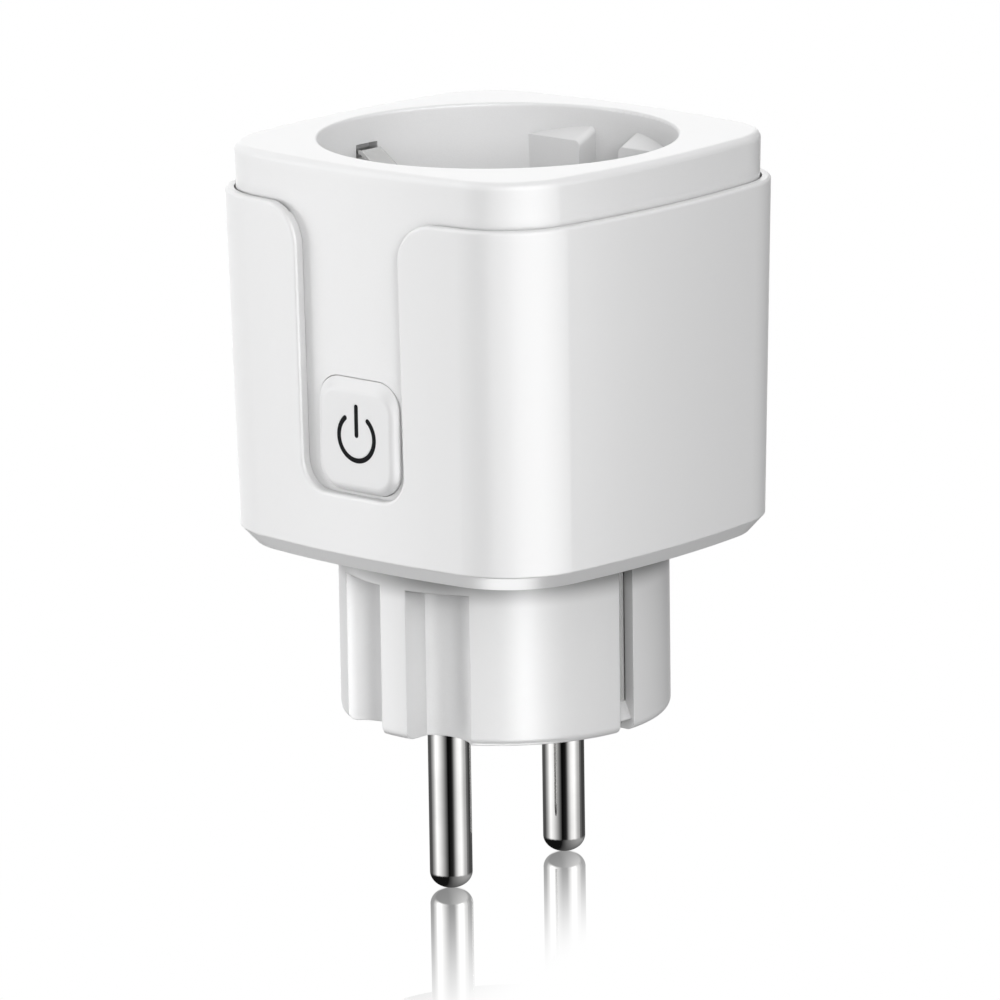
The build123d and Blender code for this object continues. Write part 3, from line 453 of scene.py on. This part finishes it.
# tall boxes that only the glossy shell picks up: a broad pair for the body, a slim pair for the plug
area("body_core", around(25, 2, 0.6), (0, 0, 0.03), (0.5, 1.4), 4.2, shell, False)
area("body_wide", around(26, 2, 0.6), (0, 0, 0.03), (1.54, 1.4), 31.0, shell, False)
area("plug_core", around(13, 2, 0.6), (0, 0, 0.03), (0.10, 1.4), 5.2, spigot, False)
area("plug_wide", around(2, 2, 0.6), (0, 0, 0.03), (0.8, 1.4), 10.5, spigot, False)
area("plug_under", (-0.07, 0.05, -0.38), (0, 0, 0.0), (0.2, 0.2), 1.15, spigot, False)
area("plug_left", around(-105, 2, 0.7), (0, 0, 0.03), (0.7, 1.4), 5.0, spigot, False)
area("left_gloss", around(-84, 2, 0.9), (0, 0, 0.03), (0.3, 2.0), 4.0, shell, False)
area("rim_left", around(-155, 2, 0.9), (0, 0, 0.03), (1.2, 2.0), 6.0, shell, False)


# ---------------------------------------------------------------- camera
def make_camera():
    cam = bpy.data.cameras.new("camera")
    ob = bpy.data.objects.new("camera", cam)
    scene.collection.objects.link(ob)
    az, el, roll = math.radians(42.04), math.radians(13.505), math.radians(-0.844)
    D, tz = 0.8061, 0.01999
    d = Vector((math.sin(az) * math.cos(el), -math.cos(az) * math.cos(el), math.sin(el)))
    right = Vector((math.cos(az), math.sin(az), 0.0))
    up = (-d).cross(right) * -1.0
    r2 = right * math.cos(roll) + up * math.sin(roll)
    u2 = -right * math.sin(roll) + up * math.cos(roll)
    ob.matrix_world = Matrix(((r2.x, u2.x, d.x, 0), (r2.y, u2.y, d.y, 0), (r2.z, u2.z, d.z, tz), (0, 0, 0, 1)))
    ob.location = Vector((0, 0, tz)) + d * D
    cam.sensor_width = 36.0
    cam.sensor_fit = "HORIZONTAL"
    cam.lens = 7258.3 * 36.0 / 1000.0
    cam.shift_x = (500.0 - 503.5) / 1000.0
    cam.shift_y = (530.7 - 500.0) / 1000.0
    cam.clip_start, cam.clip_end = 0.01, 10.0
    scene.camera = ob


make_camera()
